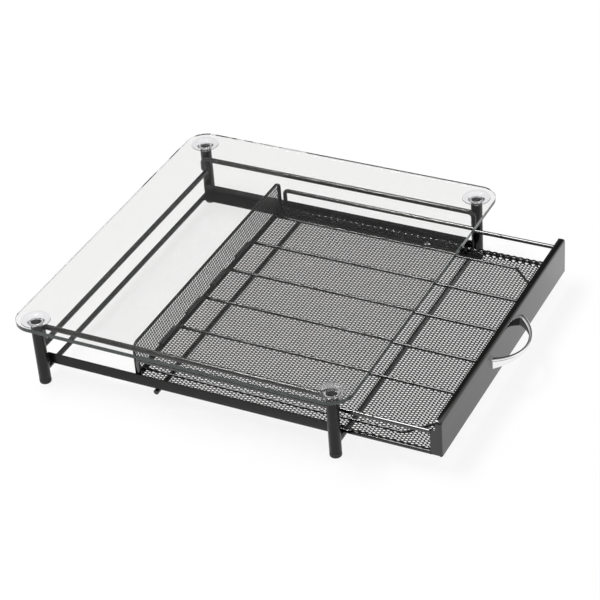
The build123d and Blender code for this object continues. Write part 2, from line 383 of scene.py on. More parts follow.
def makeClear(name, spec):
    material, tree, shader = newMaterial(name)
    addMarks(tree, shader, spec)
    setInputs(
        shader, Base_Color=spec["colour"], IOR=spec["ior"],
        Transmission_Weight=spec["transmission"], Metallic=0.0,
    )
    if "inside" in spec:        # painted light: an edge seen from inside, through the clear faces, gets a paler painted colour that stands in for the light it catches there
        shape = addNode(tree, "NewGeometry")
        paintedInsideLight = addMix(tree)
        paintedInsideLight.inputs[colourA].default_value = spec["colour"]
        paintedInsideLight.inputs[colourB].default_value = spec["inside"]
        connect(tree, (shape, "Backfacing", paintedInsideLight, "Factor"), (paintedInsideLight, mixed, shader, "Base Color"))
    return material


def makeMetal(name, spec):
    material, tree, shader = newMaterial(name)
    addMarks(tree, shader, spec)
    setInputs(shader, Base_Color=spec["colour"], Metallic=1.0)
    return material


finishes = {}
for make, specs in ((makeCoat, coats), (makeClear, clears), (makeMetal, metals)):
    for finish, spec in specs.items():
        finishes[finish] = make(finish, spec)
print("materials built")


# Mesh helpers

smoothBelow = 35.0       # degrees
bevelAbove = 40.0
mergeWithin = 1e-7       # metres
rounding = 1e-12
flareShares = (0.25, 0.5, 0.75, 1.0)               # where a weld's flare gets a ring
square = [(1, 1), (-1, 1), (-1, -1), (1, -1)]      # its corners in turn


def newPiece(name, mesh, materials, body, nodes=(), sharpAngle=smoothBelow):
    piece = meshObject(name, *mesh)
    cleanUp(piece)
    for material in materials:
        piece.data.materials.append(finishes[material])
    if sharpAngle:
        shadeSmooth(piece, sharpAngle)
    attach(piece, body)
    if nodes:
        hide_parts(*nodes)
    return piece


def cleanUp(piece):
    work = bmesh.new()
    work.from_mesh(piece.data)
    bmesh.ops.remove_doubles(work, verts=work.verts, dist=mergeWithin)
    bmesh.ops.recalc_face_normals(work, faces=work.faces)
    work.to_mesh(piece.data)
    work.free()


def shadeSmooth(piece, sharpAngle=smoothBelow):
    piece.data.shade_smooth()
    piece.data.set_sharp_from_angle(angle=math.radians(sharpAngle))


def applyModifiers(piece):
    depsgraph = bpy.context.evaluated_depsgraph_get()
    made = bpy.data.meshes.new_from_object(piece.evaluated_get(depsgraph))
    old = piece.data
    piece.modifiers.clear()
    piece.data = made
    made.name = piece.name
    bpy.data.meshes.remove(old)


def cutAway(piece, mesh):
    tool = meshObject("cutTool", *mesh)
    cleanUp(tool)
    cut = piece.modifiers.new("cut", "BOOLEAN")
    cut.operation = "DIFFERENCE"
    cut.solver = "EXACT"
    cut.use_self = True
    cut.object = tool
    applyModifiers(piece)
    bpy.data.objects.remove(tool)


def softenEdges(piece, width, segments=2):
    bevel = piece.modifiers.new("edges", "BEVEL")
    bevel.width = width
    bevel.segments = segments
    bevel.limit_method = "ANGLE"
    bevel.angle_limit = math.radians(bevelAbove)
    applyModifiers(piece)


def fullTurn(steps):
    return [2 * math.pi * k / steps for k in range(steps)]


def quarterTurn(steps):
    return [math.pi / 2 * k / steps for k in range(steps + 1)]


def lathe(profile, centre, segments=64):
    verts, faces, rings = [], [], []
    for radius, z in profile:
        angles = fullTurn(segments) if radius else [0.0]      # a point on the axis is one vertex
        rings.append(range(len(verts), len(verts) + len(angles)))
        verts += [Vector((centre.x + radius * math.cos(a), centre.y + radius * math.sin(a), z))
                  for a in angles]
    for lower, upper in zip(rings, rings[1:]):
        for k in range(segments):
            n = (k + 1) % segments
            if len(lower) == 1:
                faces.append((lower[0], upper[k], upper[n]))
            elif len(upper) == 1:
                faces.append((lower[k], lower[n], upper[0]))
            else:
                faces.append((lower[k], lower[n], upper[n], upper[k]))
    return verts, faces


def ringMesh(rings, closed=True):
    verts = [point for ring in rings for point in ring]
    width = len(rings[0])
    faces = []
    for start in range(0, len(verts) - width, width):
        for s in range(width if closed else width - 1):
            n = (s + 1) % width
            faces.append((start + s, start + n, start + width + n, start + width + s))
    return verts, faces


def loftRings(rings):
    verts, faces = ringMesh(rings)
    around, count = len(rings[0]), len(verts)
    caps = [tuple(reversed(range(around))), tuple(range(count - around, count))]
    return verts, faces + caps


def roundRoute(points, bend, steps=10):
    points = [Vector(p) for p in points]
    route = [points[0]]
    for before, here, after in zip(points, points[1:], points[2:]):
        into = (here - before).normalized()
        out = (after - here).normalized()
        turn = into.angle(out)
        reach = bend * math.tan(turn / 2)
        centre = here + (out - into).normalized() * (bend / math.cos(turn / 2))
        start = here - into * reach - centre
        axis = into.cross(out).normalized()
        for k in range(steps + 1):
            route.append(centre + Matrix.Rotation(turn * k / steps, 3, axis) @ start)
    route.append(points[-1])
    return route


def sweepRound(route, radius, look, flareStart=0.0, flareEnd=0.0):
    # A flare is the small fillet of weld and paint where the wire meets another piece.
    flareLength = look["weldLength"]
    length = [0.0]
    for a, b in zip(route, route[1:]):
        length.append(length[-1] + (b - a).length)
    total = length[-1]
    dense = list(zip(length, route))
    for share in flareShares:
        reach = share * flareLength
        for flare, at in ((flareStart, reach), (flareEnd, total - reach)):
            if flare:
                k = max(i for i in range(len(route) - 1) if length[i] <= at + rounding)
                part = (at - length[k]) / (length[k + 1] - length[k])
                dense.append((at, route[k].lerp(route[k + 1], part)))
    dense.sort(key=lambda item: item[0])
    rings, side, last = [], None, len(dense) - 1
    for k, (at, point) in enumerate(dense):
        ahead = dense[min(k + 1, last)][1] - point
        behind = point - dense[max(k - 1, 0)][1]
        tangent = (ahead.normalized() + behind.normalized()).normalized()
        if side is None:
            helper = Vector((0, 0, 1)) if abs(tangent.z) < 0.9 else Vector((1, 0, 0))
            side = tangent.cross(helper).normalized()
        side = (side - tangent * side.dot(tangent)).normalized()
        other = tangent.cross(side)
        size = radius
        for flare, near in ((flareStart, at), (flareEnd, total - at)):
            if near < flareLength:
                size += flare * (1 - near / flareLength) ** 2
        rings.append([point + (side * math.cos(a) + other * math.sin(a)) * size
                      for a in fullTurn(look["around"])])
    return loftRings(rings)


def joined(*parts):
    verts, faces = [], []
    for partVerts, partFaces in parts:
        offset = len(verts)
        verts += partVerts
        faces += [tuple(index + offset for index in face) for face in partFaces]
    return verts, faces


def roundedOutline(halfX, halfY, radius, steps):
    points = []
    for quarter, (sx, sy) in enumerate(square):
        for angle in quarterTurn(steps):
            angle += math.pi / 2 * quarter
            points.append((sx * (halfX - radius) + radius * math.cos(angle),
                           sy * (halfY - radius) + radius * math.sin(angle)))
    return points


def boxMesh(low, high):
    verts = [Vector((x, y, z)) for x in (low[0], high[0]) for y in (low[1], high[1])
             for z in (low[2], high[2])]
    faces = [(0, 1, 3, 2), (4, 6, 7, 5), (0, 4, 5, 1), (2, 3, 7, 6), (0, 2, 6, 4), (1, 5, 7, 3)]
    return verts, faces


# Posts, foot caps and suction cups

postLook = {
    "wall": 1.0 * mm, "plugGap": 0.1 * mm, "lip": 0.25 * mm,
    "rim": [(0.0, 2.0), (0.3, 0.6), (1.0, 0.0)],         # inset and drop, as shares of the lip
}
capLook = {"step": 0.3 * mm, "round": 1.3 * mm, "roundSteps": 6, "sole": 1.6 * mm}
cupLook = {
    "neckRadius": 5.7 * mm, "neckWaist": 4.7 * mm, "collarHeight": 1.5 * mm, "collarEase": 0.3 * mm,
    "plugEase": 0.4 * mm, "flareFrom": 0.7 * mm, "flare": 3.5, "flareSteps": 10,
    "rimThickness": 0.45 * mm, "rimEase": 0.25 * mm, "rimLand": 2.2 * mm,
    "hollowInset": 2.6 * mm, "hollowDepth": 0.9 * mm, "hollowSteps": 8, "segments": 72,
}


def makePost(corner):
    low, high = nodeBox(f"post_{corner}")
    radius = (high.x - low.x) / 2
    lip = postLook["lip"]
    inner = radius - postLook["wall"]
    profile = [(inner, low.z), (radius - lip, low.z), (radius, low.z + lip)]
    profile += [(radius - inset * lip, high.z - drop * lip) for inset, drop in postLook["rim"]]
    profile += [(inner + lip, high.z), (inner, high.z - lip), (inner, low.z)]
    newPiece(f"postTube_{corner}", lathe(profile, (low + high) / 2), ["blackCoat"], "stand",
             [f"post_{corner}"])


def makeFootCap(corner):
    look = capLook
    low, high = nodeBox(f"foot_cap_{corner}")
    seam = nodeBox(f"post_{corner}")[0].z
    radius = (high.x - low.x) / 2
    inner = radius - postLook["wall"] - postLook["plugGap"]
    step = look["step"]
    profile = [(0, low.z), (radius - look["sole"], low.z)]
    for angle in quarterTurn(look["roundSteps"]):
        profile.append((radius - look["round"] * (1 - math.sin(angle)),
                        low.z + look["round"] * (1 - math.cos(angle))))
    profile += [
        (radius, seam - 2 * step), (radius - step, seam - step), (radius - step, seam - hairline),
        (inner, seam - hairline), (inner, high.z), (0, high.z),
    ]
    newPiece(f"footCap_{corner}", lathe(profile, (low + high) / 2), ["footPlastic"], "stand",
             [f"foot_cap_{corner}"])


def makeSuctionCup(corner):
    look = cupLook
    low, high = nodeBox(f"suction_cup_{corner}")
    rim = (high.x - low.x) / 2
    top = high.z - hairline
    seat = nodeBox(f"post_{corner}")[1].z + hairline
    plug = halfWidth(f"post_{corner}") - postLook["wall"] - postLook["plugGap"]
    plugEase, rimEase = look["plugEase"], look["rimEase"]
    neck, waist, ease = look["neckRadius"], look["neckWaist"], look["collarEase"]
    collar = seat + look["collarHeight"]
    profile = [
        (0, low.z), (plug - plugEase, low.z), (plug, low.z + plugEase), (plug, seat),
        (neck - ease, seat), (neck, seat + ease), (neck, collar - ease), (neck - ease, collar),
        (waist, collar + ease),
    ]
    # The cup opens out in a soft curve to its thin rim, with a shallow hollow under the glass.
    flareLow, rimLow = collar + look["flareFrom"], top - look["rimThickness"]
    for k in range(1, look["flareSteps"] + 1):
        share = k / look["flareSteps"]
        profile.append((waist + (rim - waist) * share,
                        flareLow + (rimLow - flareLow) * (1 - (1 - share) ** look["flare"])))
    profile += [(rim, top - rimEase), (rim - rimEase, top), (rim - look["rimLand"], top)]
    hollow = rim - look["hollowInset"]
    for k in range(look["hollowSteps"] + 1):
        across = 1 - k / look["hollowSteps"]
        profile.append((hollow * across, top - look["hollowDepth"] * (1 - across ** 2)))
    turned = lathe(profile, (low + high) / 2, look["segments"])
    newPiece(f"suctionCup_{corner}", turned, ["clearVinyl"], "stand",
             [f"suction_cup_{corner}"])


for corner in corners:
    makePost(corner)
    makeFootCap(corner)
    makeSuctionCup(corner)
print("posts, caps and cups built")


# Glass shelf

glassLook = {
    "cornerRadius": 20.0 * mm, "cornerSteps": 14, "arris": 0.25 * mm, "sharpAngle": 12.0,
    "edge": [(1.0, 0.0), (0.25, 0.35), (0.0, 1.0)],      # inset and rise, as shares of the arris
}


def makeGlass():
    look = glassLook
    low, high = nodeBox("glass_shelf")
    centre, half = (low + high) / 2, (high - low) / 2
    arris = look["arris"]
    levels = [(inset * arris, low.z + rise * arris) for inset, rise in look["edge"]]
    levels += [(inset * arris, high.z - rise * arris) for inset, rise in reversed(look["edge"])]
    rings = []
    for inset, z in levels:
        radius = look["cornerRadius"] - inset
        outline = roundedOutline(half.x - inset, half.y - inset, radius, look["cornerSteps"])
        rings.append([Vector((centre.x + x, centre.y + y, z)) for x, y in outline])
    shelf = newPiece("glassShelf", loftRings(rings), ["shelfGlass", "glassEdge"], "stand",
                     ["glass_shelf"], look["sharpAngle"])
    for polygon in shelf.data.polygons:
        if len(polygon.vertices) == 4:       # all but the flat top and underside
            polygon.material_index = 1


makeGlass()
print("glass built")


# Wires and bars of the stand

wireLook = {
    "weld": 0.55 * mm, "weldLength": 2.4 * mm, "overlap": 0.8 * mm, "bend": 5.0 * mm, "around": 20,
    "tip": 0.4 * mm, "tipShare": 0.8,        # a cut end narrows to this share of its width
}
stripLook = {"edge": 0.35 * mm}


def wirePiece(name, mesh, body, coat="wireCoat"):
    newPiece(name + "_rod", mesh, [coat], body, [name])


def crossWire(name):
    look = wireLook
    centre = middleOf(name)
    left, right = (middleOf(f"post_rear_{side}").x for side in sides)
    inset = halfWidth("post_rear_left") - look["overlap"]
    route = [Vector((x, centre.y, centre.z)) for x in (left + inset, right - inset)]
    rod = sweepRound(route, wireRadius(name), look, look["weld"], look["weld"])
    wirePiece(name, rod, "stand")


def bluntWire(name, route, radius, body):
    # A cut wire, with the edges of its ends rounded by the paint
    look = wireLook
    around = look["around"]
    first = (route[1] - route[0]).normalized() * look["tip"]
    last = (route[-2] - route[-1]).normalized() * look["tip"]
    route = [route[0], route[0] + first] + route[1:-1] + [route[-1] + last, route[-1]]
    verts, faces = sweepRound(route, radius, look)
    for start in (0, len(verts) - around):
        ring = verts[start:start + around]
        centre = sum(ring, Vector()) / around
        verts[start:start + around] = [centre + (v - centre) * look["tipShare"] for v in ring]
    wirePiece(name, (verts, faces), body)


def bluntBar(name, radius, body):
    low, high = nodeBox(name)
    y, z = (low.y + high.y) / 2, (low.z + high.z) / 2
    bluntWire(name, [Vector((x, y, z)) for x in (low.x, high.x)], radius, body)


def sideWire(name):
    low, high = nodeBox(name)
    x, radius = (low.x + high.x) / 2, wireRadius(name)
    front, back, top = low.y + radius, high.y - radius, high.z - radius
    points = [(x, front, low.z), (x, front, top), (x, back, top), (x, back, low.z)]
    bluntWire(name, roundRoute(points, wireLook["bend"]), radius, "stand")


def makeFrontStrip():
    bar = boxMesh(*nodeBox("front_cross_strip"))
    strip = newPiece("frontStrip", bar, ["blackCoat"], "stand", ["front_cross_strip"])
    softenEdges(strip, stripLook["edge"])
    shadeSmooth(strip)


crossWire("rear_upper_wire")
crossWire("rear_lower_wire")
bluntBar("middle_cross_wire", wireRadius("middle_cross_wire"), "stand")
for side in sides:
    sideWire(f"stand_side_wire_{side}")
makeFrontStrip()
print("stand wires built")


# Runners

runnerLook = {
    "sheet": 1.2 * mm, "bend": 1.6 * mm, "postGap": 4.0 * mm, "tabInto": 0.6 * mm,
    "edge": 0.25 * mm, "innerSteps": 4, "outerSteps": 6,
    "holeRadius": 3.0 * mm, "holeInset": 4.0 * mm, "holeBehindPost": 44.0 * mm, "holeSteps": 40,
}


def makeRunner(side):
    look = runnerLook
    name = f"runner_{side}"
    low, high = nodeBox(name)
    way = 1 if side == "right" else -1
    post, postRadius = middleOf(f"post_front_{side}"), halfWidth(f"post_front_{side}")
    sheet, bend = look["sheet"], look["bend"]
    webOuter = post.x - way * (postRadius + look["postGap"])
    webInner = webOuter - way * sheet
    ledgeEdge = low.x if way > 0 else high.x
    inside = bend - sheet
    profile = [(webOuter, high.z), (webInner, high.z)]
    for angle in quarterTurn(look["innerSteps"]):
        profile.append((webInner - way * inside * (1 - math.cos(angle)),
                        low.z + sheet + inside * (1 - math.sin(angle))))
    profile += [(ledgeEdge, low.z + sheet), (ledgeEdge, low.z)]
    for angle in quarterTurn(look["outerSteps"]):
        profile.append((webOuter - way * bend * (1 - math.sin(angle)),
                        low.z + bend * (1 - math.cos(angle))))
    parts = [loftRings([[Vector((x, y, z)) for x, z in profile] for y in (low.y, high.y)])]
    left, right = sorted((webInner, post.x - way * (postRadius - look["tabInto"])))
    for y in (low.y, high.y - sheet):        # a tab at each end meets the post
        parts.append(boxMesh((left, y, low.z), (right, y + sheet, high.z)))
    runner = newPiece(name + "_angle", joined(*parts), ["blackCoat"], "stand", [name])
    hole = Vector((ledgeEdge + way * look["holeInset"], post.y + look["holeBehindPost"], 0))
    radius, under, above = look["holeRadius"], low.z - sheet, low.z + 2 * sheet
    profile = [(0, under), (radius, under), (radius, above), (0, above)]
    cutAway(runner, lathe(profile, hole, look["holeSteps"]))
    softenEdges(runner, look["edge"])
    shadeSmooth(runner)


for side in sides:
    makeRunner(side)
print("runners built")


# Expanded metal nets of the drawer

netLook = {
    "acrossPitch": 3.0 * mm,     # short way of a diamond
    "alongPitch": 6.6 * mm,      # long way
    "strand": 0.9 * mm,
    "thickness": 0.55 * mm,
    "tilt": 0.28 * mm,           # how far each strand leans out of the sheet
    "lap": 4.6 * mm,             # how far the cut edges run on over the lower side wires
    "lapGap": 0.05 * mm,
    "cornerInset": 2.5 * mm,     # keeps the back net's corners inside its frame
    "hem": 2.2 * mm,             # plain strip at the front and back edges
    "hemInset": 0.1 * mm,
    "hemEdge": 0.15 * mm,
}


def expandedNet(width, length, look, place):
    # Diamonds lie in staggered rows. A strand joins two of them, and a bond joins four strands.
    columns = round(width / (look["acrossPitch"] / 2))
    rows = 2 * round(length / look["alongPitch"])
    stepX, stepY = width / columns, length / rows
    shrink = 1 - look["strand"] * math.hypot(stepX, stepY) / (2 * stepX * stepY)
    tips = {
        "right": (stepX * shrink, 0.0, look["tilt"]), "left": (-stepX * shrink, 0.0, -look["tilt"]),
        "back": (0.0, stepY * shrink, 0.0), "front": (0.0, -stepY * shrink, 0.0),
    }
    verts, faces, known = [], [], {}

    def corner(i, j, tip, layer):
        key = (i, j, tip, layer)
        if key not in known:
            dx, dy, rise = tips[tip]
            x = min(max(i * stepX + dx - width / 2, -width / 2), width / 2)
            y = min(max(j * stepY + dy - length / 2, -length / 2), length / 2)
            known[key] = len(verts)
            verts.append(place(x, y, rise + layer * look["thickness"]))
        return known[key]

    def slab(points):
        faces.append(tuple(reversed([corner(*point, 0) for point in points])))
        faces.append(tuple(corner(*point, 1) for point in points))

    def wall(start, end):
        faces.append((corner(*start, 0), corner(*end, 0), corner(*end, 1), corner(*start, 1)))

    def isHole(i, j):
        return 0 <= i <= columns and 0 <= j <= rows and (i + j) % 2 == 0

    for i in range(columns + 1):
        for j in range(rows + 1):
            right, back, front = (i, j, "right"), (i, j, "back"), (i, j, "front")
            if (i + j) % 2:        # a bond
                around = [(i - 1, j, "right"), (i, j - 1, "back"),
                          (i + 1, j, "left"), (i, j + 1, "front")]
                there = [isHole(*point[:2]) for point in around]
                first = next((k + 1 for k in range(4) if not there[k] and there[(k + 1) % 4]), 0)
                around = [around[(first + k) % 4] for k in range(4) if there[(first + k) % 4]]
                if len(around) > 2:
                    slab(around)
                if len(around) < 4:        # at the net's border
                    wall(around[-1], around[0])
                continue
            if isHole(i + 1, j + 1):
                nextFront, nextLeft = (i + 1, j + 1, "front"), (i + 1, j + 1, "left")
                slab([right, nextFront, nextLeft, back])
                wall(right, back)
                wall(nextLeft, nextFront)
            if isHole(i + 1, j - 1):
                nextLeft, nextBack = (i + 1, j - 1, "left"), (i + 1, j - 1, "back")
                slab([right, front, nextLeft, nextBack])
                wall(front, right)
                wall(nextBack, nextLeft)
    return verts, faces


def makeFloorNet():
    look = netLook
    low, high = nodeBox("floor_mesh")
    centre = (low + high) / 2
    base = centre.z - look["thickness"] / 2
    flat = (high.x - low.x) / 2
    wire = middleOf("lower_side_wire_right")
    hold = halfWidth("lower_side_wire_right") + look["lapGap"]
    reach = nodeBox("lower_side_wire_right")[1].x - centre.x
    # The net meets the wire at this angle, and from there it wraps round the wire.
    foot = math.asin((wire.z - base) / (wire.x - centre.x - flat + hold))

    def onFloor(x, y, z):
        over = abs(x) - flat
        if over <= 0:
            return Vector((centre.x + x, centre.y + y, base + z))
        angle = foot - over / hold
        outward = min(wire.x - centre.x - (hold + z) * math.cos(angle), reach)
        return Vector((centre.x + math.copysign(outward, x), centre.y + y,
                       wire.z - (hold + z) * math.sin(angle)))

    net = expandedNet(2 * (flat + look["lap"]), high.y - low.y, look, onFloor)
    newPiece("floorNet", net, ["meshCoat"], "drawer", ["floor_mesh"], None)


def makeBackNet():
    look = netLook
    low, high = nodeBox("back_mesh")
    middle, size = (low + high) / 2, high - low
    face = middle.y + look["thickness"] / 2
    cornerFrom = (size.x + size.z) / 2 - look["cornerInset"]

    def onBack(x, y, z):
        slope = max(0.0, abs(x) + y - cornerFrom) / 2
        return Vector((middle.x + x - math.copysign(slope, x), face - z, middle.z + y - slope))

    net = expandedNet(size.x, size.z, look, onBack)
    newPiece("backNet", net, ["meshCoat"], "drawer", ["back_mesh"], None)


def makeHems():
    # A flat cut edge closes the floor net at its two ends.
    look = netLook
    low, high = nodeBox("floor_mesh")
    inset = look["hemInset"]
    for end, y in (("front", low.y), ("back", high.y - look["hem"])):
        bar = boxMesh((low.x, y, low.z + inset), (high.x, y + look["hem"], high.z - inset))
        strip = newPiece(f"floorNetHem_{end}", bar, ["meshCoat"], "drawer")
        softenEdges(strip, look["hemEdge"], 1)


makeFloorNet()
makeBackNet()
makeHems()
print("nets built")


# Pressed sheet parts: the front panel and the frame round the back net

sheetLook = {"sheet": 1.0 * mm, "edge": 0.18 * mm, "sharpAngle": 32.0, "topSpans": 12}
panelLook = {
    "bend": 2.0 * mm, "corner": 4.0 * mm, "topReturn": 5.8 * mm, "sideReturn": 10.6 * mm,
    "returnDrop": 9.9 * mm, "notchRound": 1.6 * mm, "notchSteps": 6, "returnFoot": 0.8 * mm,
    "levels": (0.3, 0.6),            # shares of the height below the notch
}
frameLook = {
    "bend": 1.2 * mm, "corner": 8.0 * mm, "flange": 3.0 * mm, "rim": 2.5 * mm,
    "bottomRim": 1.5 * mm, "levels": (0.0, 0.25, 0.5, 0.7),      # shares of the height
}


def archOutline(halfSpan, height, corner, splits, steps=10):
    # From the lower left, up, over and down again: a point and its outward direction
    samples = [((-halfSpan, z), (-1.0, 0.0)) for z in splits]
    for angle in quarterTurn(steps):
        wayX, wayZ = -math.cos(angle), math.sin(angle)
        point = (-halfSpan + corner + corner * wayX, height - corner + corner * wayZ)
        samples.append((point, (wayX, wayZ)))
    mirrored = [((-x, z), (-wayX, wayZ)) for (x, z), (wayX, wayZ) in reversed(samples)]
    spans = sheetLook["topSpans"]
    for k in range(1, spans):
        x = (-1 + 2 * k / spans) * (halfSpan - corner)
        samples.append(((x, height), (0.0, 1.0)))
    return samples + mirrored


def bentEdge(samples, origin, bend, depthAt, into, steps=6):
    # One ring for each sample, from the face round the bend to the edge of the return
    turn = [(bend * (1 - math.sin(a)), bend * (1 - math.cos(a))) for a in quarterTurn(steps)]
    rings = []
    for (x, z), (wayX, wayZ) in samples:
        section = turn + [(0.0, max(depthAt(z), bend + sliver))]
        rings.append([Vector((origin.x + x - wayX * inset, origin.y + into * depth,
                              origin.z + z - wayZ * inset)) for inset, depth in section])
    return rings


def sheetPiece(name, mesh, inner, material, node):
    look = sheetLook
    piece = newPiece(name, mesh, [material], "drawer", [node], None)
    # The outer skin is made first, and the sheet gets its thickness on the inner side.
    work = bmesh.new()
    work.from_mesh(piece.data)
    largest = max(work.faces, key=lambda f: f.calc_area())
    if largest.normal.y * inner > 0:
        bmesh.ops.reverse_faces(work, faces=work.faces)
    work.to_mesh(piece.data)
    work.free()
    thick = piece.modifiers.new("sheet", "SOLIDIFY")
    thick.thickness = look["sheet"]
    thick.offset = -1
    thick.use_even_offset = True
    applyModifiers(piece)
    softenEdges(piece, look["edge"])
    shadeSmooth(piece, look["sharpAngle"])


def makePanel():
    look = panelLook
    low, high = nodeBox("front_panel")
    height = high.z - low.z
    drop = height - look["returnDrop"]
    turn = look["notchRound"]
    foot = look["returnFoot"]
    splits = [0.0, foot, foot + sliver] + [share * drop for share in look["levels"]]
    for angle in quarterTurn(look["notchSteps"]):
        splits.append(drop - turn + turn * math.sin(angle))
    splits.append(drop + hairline)

    def depthAt(z):
        if z <= foot:
            return sheetLook["sheet"]
        if z > drop:
            return look["topReturn"]
        if z <= drop - turn:
            return look["sideReturn"]
        lift = (z - (drop - turn)) / turn
        return look["sideReturn"] - turn * (1 - math.sqrt(max(0.0, 1 - lift * lift)))

    samples = archOutline((high.x - low.x) / 2, height, look["corner"], splits)
    origin = Vector(((low.x + high.x) / 2, low.y, low.z))
    rings = bentEdge(samples, origin, look["bend"], depthAt, 1)
    verts, faces = ringMesh(rings, closed=False)
    faces.append(tuple(range(0, len(verts), len(rings[0]))))
    sheetPiece("frontPanel", (verts, faces), 1, "panelCoat", "front_panel")


def makeBackFrame():
    look = frameLook
    low, high = nodeBox("back_frame")
    height = high.z - low.z
    splits = [height * share for share in look["levels"]]
    samples = archOutline((high.x - low.x) / 2, height, look["corner"], splits)
    origin = Vector(((low.x + high.x) / 2, high.y, low.z))
    rings = bentEdge(samples, origin, look["bend"], lambda z: look["flange"], -1)
    # The rim of the frame runs from the bent edge to the window, and along the bottom.
    rim, lowest = look["rim"], low.z + look["bottomRim"]
    edge = [ring[0] for ring in rings]
    window = [Vector((origin.x + x - wayX * rim, high.y, max(low.z + z - wayZ * rim, lowest)))
              for (x, z), (wayX, wayZ) in samples]
    for line in (edge, window):
        end, start, spans = line[-1], line[0], sheetLook["topSpans"]
        line += [end.lerp(start, k / spans) for k in range(1, spans)]
    skin = joined(ringMesh(rings, closed=False), ringMesh([edge, window]))
    sheetPiece("backFrame", skin, -1, "blackCoat", "back_frame")


makePanel()
makeBackFrame()
print("sheet parts built")


# Drawer wires

drawerWireLook = {
    "railBend": 4.0 * mm, "braceRun": 41.0 * mm, "braceBend": 6.0 * mm, "dividerBend": 4.0 * mm,
    "weld": 0.45 * mm, "slimWeld": 0.2 * mm, "weldLength": 1.6 * mm, "into": 0.5 * mm, "around": 18,
}


def drawerWire(name, route, weldStart, weldEnd, coat="wireCoat"):
    verts, faces = sweepRound(route, wireRadius(name), drawerWireLook, weldStart, weldEnd)
    foremost = min(point.y for point in route)       # keeps a slanting end inside the panel
    verts = [Vector((v.x, max(v.y, foremost), v.z)) for v in verts]
    wirePiece(name, (verts, faces), "drawer", coat)


def makeRail(side):
    look = drawerWireLook
    name = f"drawer_rail_{side}"
    low, high = nodeBox(name)
    radius = wireRadius(name)
    x, z, legY = (low.x + high.x) / 2, high.z - radius, high.y - radius
    points = [(x, low.y - look["into"], z), (x, legY, z), (x, legY, low.z)]
    drawerWire(name, roundRoute(points, look["railBend"]), look["weld"], look["weld"], "railCoat")


def makeLowerWire(side):
    look = drawerWireLook
    name = f"lower_side_wire_{side}"
    low, high = nodeBox(name)
    x, z = (low.x + high.x) / 2, (low.z + high.z) / 2
    route = [Vector((x, low.y - look["into"], z)), Vector((x, high.y, z))]
    drawerWire(name, route, look["slimWeld"], 0.0)       # slim, to clear the runner when closed


def makeBrace(side):
    look = drawerWireLook
    name = f"floor_support_wire_{side}"
    low, high = nodeBox(name)
    way = 1 if side == "right" else -1
    radius, run, into = wireRadius(name), look["braceRun"], look["into"]
    x, z = (high.x - radius if way > 0 else low.x + radius), (low.z + high.z) / 2
    points = [(x, high.y, z), (x, low.y + run, z), (x - way * (run + into), low.y - into, z)]
    drawerWire(name, roundRoute(points, look["braceBend"]), look["weld"], look["weld"])


def makeDivider(name):
    low, high = nodeBox(name)
    radius = wireRadius(name)
    x, z = high.x - radius, (low.z + high.z) / 2
    back, front = high.y - radius, low.y + radius
    points = [(low.x, back, z), (x, back, z), (x, front, z), (low.x, front, z)]
    bluntWire(name, roundRoute(points, drawerWireLook["dividerBend"]), radius, "drawer")


for side in sides:
    makeRail(side)
    makeLowerWire(side)
    makeBrace(side)
bluntBar("rear_floor_wire", halfHeight("rear_floor_wire"), "drawer")
for node in sorted(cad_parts):
    if node.startswith("divider_"):
        makeDivider(node)
print("drawer wires built")


# Handle and its screws

handleLook = {
    "foot": 5.8 * mm, "end": 1.5 * mm, "bar": 3.0 * mm, "barHeight": 3.2 * mm,
    "bevel": 0.7 * mm, "bevelMost": 0.4, "round": 0.9 * mm, "roundMost": 0.42, "roundSteps": 4,
    "innerLift": 0.03 * mm, "spans": 64, "sharpAngle": 50.0,
    "tips": (0.0, 0.35, 0.7),        # shares of the way round each end
}
screwLook = {
    "headRadius": 3.0 * mm, "headHeight": 1.8 * mm, "seatEase": 0.15 * mm, "seatRise": 0.2 * mm,
    "domeFrom": 0.5 * mm, "domePower": 0.8, "domeSteps": 8, "segments": 40,
    "recess": 1.0 * mm, "recessWidth": 0.8 * mm, "recessReach": 0.55, "recessAbove": 1.0 * mm,
    "recessTaper": (0.4, 0.6),       # shares of its width and height that are left at its bottom
}


def arcThrough(endX, endY, reach):
    # Circle through both ends and the middle of the bow, in the handle's own plan
    rise = reach - endY
    radius = (endX * endX + rise * rise) / (2 * rise)
    middleY = reach - radius
    return lambda x: middleY + math.sqrt(max(0.0, radius * radius - x * x))


def handleSection(outer, inner, outerHalf, innerHalf, look):
    # Tall inner side, sloped top and bottom, a bevel and a lower outer face, all corners eased
    reach = outer - inner
    side = reach.normalized()
    up = Vector((0, 0, 1))
    bevel = min(look["bevel"], look["bevelMost"] * reach.length, look["bevelMost"] * outerHalf)
    shoulder = outerHalf + (innerHalf - outerHalf) * bevel / reach.length
    flat = [(0.0, -innerHalf), (reach.length - bevel, -shoulder), (reach.length, bevel - outerHalf)]
    flat += [(a, -b) for a, b in reversed(flat)]
    points = [inner + side * a + up * b for a, b in flat]
    ring = []
    for k, point in enumerate(points):
        before, after = points[k - 1] - point, points[(k + 1) % len(points)] - point
        ease = min(look["round"], look["roundMost"] * min(before.length, after.length))
        start, end = point + before.normalized() * ease, point + after.normalized() * ease
        for n in range(look["roundSteps"] + 1):
            share = n / look["roundSteps"]
            ring.append(start.lerp(point, share).lerp(point.lerp(end, share), share))
    return ring


